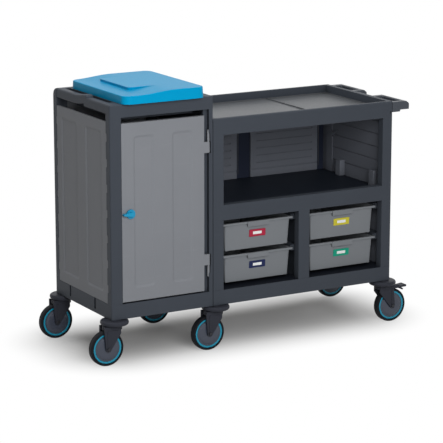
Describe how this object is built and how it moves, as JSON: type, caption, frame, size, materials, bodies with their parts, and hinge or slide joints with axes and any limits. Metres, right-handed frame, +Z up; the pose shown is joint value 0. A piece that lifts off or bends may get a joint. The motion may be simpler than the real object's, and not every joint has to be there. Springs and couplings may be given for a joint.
{
  "type": "service cart",
  "caption": "Modular cleaning service cart on swivel casters, with a lidded bag cabinet behind a hinged door, an open shelf, sliding drawers, a top tray and a push handle.",
  "frame": {"origin": "On the floor under the middle of the cart's bounding box.", "axes": "+X runs along the cart towards the push handle, +Y to the back away from the door and drawer fronts, and +Z up."},
  "size_m": [1.565, 0.607, 1.1416],
  "materials": {
    "anthracite": "fine grain",
    "grey_panel": "fine grain",
    "drawer_grey": "satin",
    "tray_grey": "fine grain",
    "lid_blue": "satin",
    "knob_blue": "satin",
    "ring_blue": "gloss",
    "hub_black": "gloss",
    "tyre": "matt",
    "bumper_black": "satin",
    "dark_steel": "blackened",
    "steel": "zinc plated"
  },
  "bodies": {
    "cart": {"cabinet_base": "anthracite", "body_base": "anthracite", "cabinet_front_frame": "anthracite", "cabinet_rear_frame": "anthracite", "cabinet_side_panel": "grey_panel", "cabinet_rear_panel": "grey_panel", "cabinet_top_frame": "anthracite", "bag_collar": "anthracite", "partition_wall": "anthracite", "body_side_panel": "grey_panel", "upper_front_frame": "anthracite", "drawer_bay_posts": "anthracite", "body_rear_frame": "bumper_black", "back_panels": "grey_panel", "middle_shelf": "anthracite", "tray_frame": "anthracite", "tray_inserts": "tray_grey", "push_handle": "anthracite", "drawer_runners": "anthracite", "bumper_discs": "bumper_black"},
    "door": {"door": "grey_panel"},
    "latch": {"latch_knob": "knob_blue", "latch_cam": "steel"},
    "lid": {"lid": "lid_blue"},
    "drawer_upper_left": {"drawer_upper_left": "drawer_grey"},
    "drawer_upper_right": {"drawer_upper_right": "drawer_grey"},
    "drawer_lower_left": {"drawer_lower_left": "drawer_grey"},
    "drawer_lower_right": {"drawer_lower_right": "drawer_grey"},
    "caster_left_front": {"fork_left_front": "bumper_black", "axle_left_front": "dark_steel"},
    "wheel_left_front": {"hub_left_front": "hub_black", "ring_left_front": "ring_blue", "tyre_left_front": "tyre"},
    "caster_left_rear": {"fork_left_rear": "bumper_black", "axle_left_rear": "dark_steel"},
    "wheel_left_rear": {"hub_left_rear": "hub_black", "ring_left_rear": "ring_blue", "tyre_left_rear": "tyre"},
    "caster_middle_front": {"fork_middle_front": "bumper_black", "axle_middle_front": "dark_steel"},
    "wheel_middle_front": {"hub_middle_front": "hub_black", "ring_middle_front": "ring_blue", "tyre_middle_front": "tyre"},
    "caster_middle_rear": {"fork_middle_rear": "bumper_black", "axle_middle_rear": "dark_steel"},
    "wheel_middle_rear": {"hub_middle_rear": "hub_black", "ring_middle_rear": "ring_blue", "tyre_middle_rear": "tyre"},
    "caster_right_front": {"fork_right_front": "bumper_black", "axle_right_front": "dark_steel"},
    "wheel_right_front": {"hub_right_front": "hub_black", "ring_right_front": "ring_blue", "tyre_right_front": "tyre"},
    "caster_right_rear": {"fork_right_rear": "bumper_black", "axle_right_rear": "dark_steel"},
    "wheel_right_rear": {"hub_right_rear": "hub_black", "ring_right_rear": "ring_blue", "tyre_right_rear": "tyre"},
    "pedal_right_front": {"pedal_right_front": "bumper_black"},
    "pedal_right_rear": {"pedal_right_rear": "bumper_black"}
  },
  "joints": [
    {"name": "door_hinge", "type": "hinge", "parent": "cart", "child": "door", "pos_m": [-0.23, -0.2595, 0.6405], "axis": [0, 0, 1], "range_deg": [0, 95]},
    {"name": "latch_turn", "type": "hinge", "parent": "door", "child": "latch", "pos_m": [-0.5995, -0.2565, 0.637], "axis": [0, -1, 0], "range_deg": [0, 90]},
    {"name": "lid_hinge", "type": "hinge", "parent": "cart", "child": "lid", "pos_m": [-0.446, 0.2225, 1.103], "axis": [-1, 0, 0], "range_deg": [0, 95]},
    {"name": "drawer_upper_left_slide", "type": "slide", "parent": "cart", "child": "drawer_upper_left", "axis": [0, -1, 0], "range_m": [0, 0.32]},
    {"name": "drawer_upper_right_slide", "type": "slide", "parent": "cart", "child": "drawer_upper_right", "axis": [0, -1, 0], "range_m": [0, 0.32]},
    {"name": "drawer_lower_left_slide", "type": "slide", "parent": "cart", "child": "drawer_lower_left", "axis": [0, -1, 0], "range_m": [0, 0.32]},
    {"name": "drawer_lower_right_slide", "type": "slide", "parent": "cart", "child": "drawer_lower_right", "axis": [0, -1, 0], "range_m": [0, 0.32]},
    {"name": "swivel_left_front", "type": "hinge", "parent": "cart", "child": "caster_left_front", "pos_m": [-0.6675, -0.2435, 0.2], "axis": [0, 0, 1], "continuous": true},
    {"name": "spin_left_front", "type": "hinge", "parent": "caster_left_front", "child": "wheel_left_front", "pos_m": [-0.7075, -0.2435, 0.075], "axis": [0, 1, 0], "continuous": true},
    {"name": "swivel_left_rear", "type": "hinge", "parent": "cart", "child": "caster_left_rear", "pos_m": [-0.6675, 0.2435, 0.2], "axis": [0, 0, 1], "continuous": true},
    {"name": "spin_left_rear", "type": "hinge", "parent": "caster_left_rear", "child": "wheel_left_rear", "pos_m": [-0.7075, 0.2435, 0.075], "axis": [0, 1, 0], "continuous": true},
    {"name": "swivel_middle_front", "type": "hinge", "parent": "cart", "child": "caster_middle_front", "pos_m": [-0.18625, -0.2435, 0.2], "axis": [0, 0, 1], "continuous": true},
    {"name": "spin_middle_front", "type": "hinge", "parent": "caster_middle_front", "child": "wheel_middle_front", "pos_m": [-0.22625, -0.2435, 0.075], "axis": [0, 1, 0], "continuous": true},
    {"name": "swivel_middle_rear", "type": "hinge", "parent": "cart", "child": "caster_middle_rear", "pos_m": [-0.18625, 0.2435, 0.2], "axis": [0, 0, 1], "continuous": true},
    {"name": "spin_middle_rear", "type": "hinge", "parent": "caster_middle_rear", "child": "wheel_middle_rear", "pos_m": [-0.22625, 0.2435, 0.075], "axis": [0, 1, 0], "continuous": true},
    {"name": "swivel_right_front", "type": "hinge", "parent": "cart", "child": "caster_right_front", "pos_m": [0.6645, -0.2435, 0.2], "axis": [0, 0, 1], "continuous": true},
    {"name": "spin_right_front", "type": "hinge", "parent": "caster_right_front", "child": "wheel_right_front", "pos_m": [0.7045, -0.2435, 0.075], "axis": [0, 1, 0], "continuous": true},
    {"name": "swivel_right_rear", "type": "hinge", "parent": "cart", "child": "caster_right_rear", "pos_m": [0.6645, 0.2435, 0.2], "axis": [0, 0, 1], "continuous": true},
    {"name": "spin_right_rear", "type": "hinge", "parent": "caster_right_rear", "child": "wheel_right_rear", "pos_m": [0.7045, 0.2435, 0.075], "axis": [0, 1, 0], "continuous": true},
    {"name": "brake_right_front", "type": "hinge", "parent": "caster_right_front", "child": "pedal_right_front", "pos_m": [0.7305, -0.2435, 0.16], "axis": [0, 1, 0], "range_deg": [0, 12]},
    {"name": "brake_right_rear", "type": "hinge", "parent": "caster_right_rear", "child": "pedal_right_rear", "pos_m": [0.7305, 0.2435, 0.16], "axis": [0, 1, 0], "range_deg": [0, 12]}
  ]
}
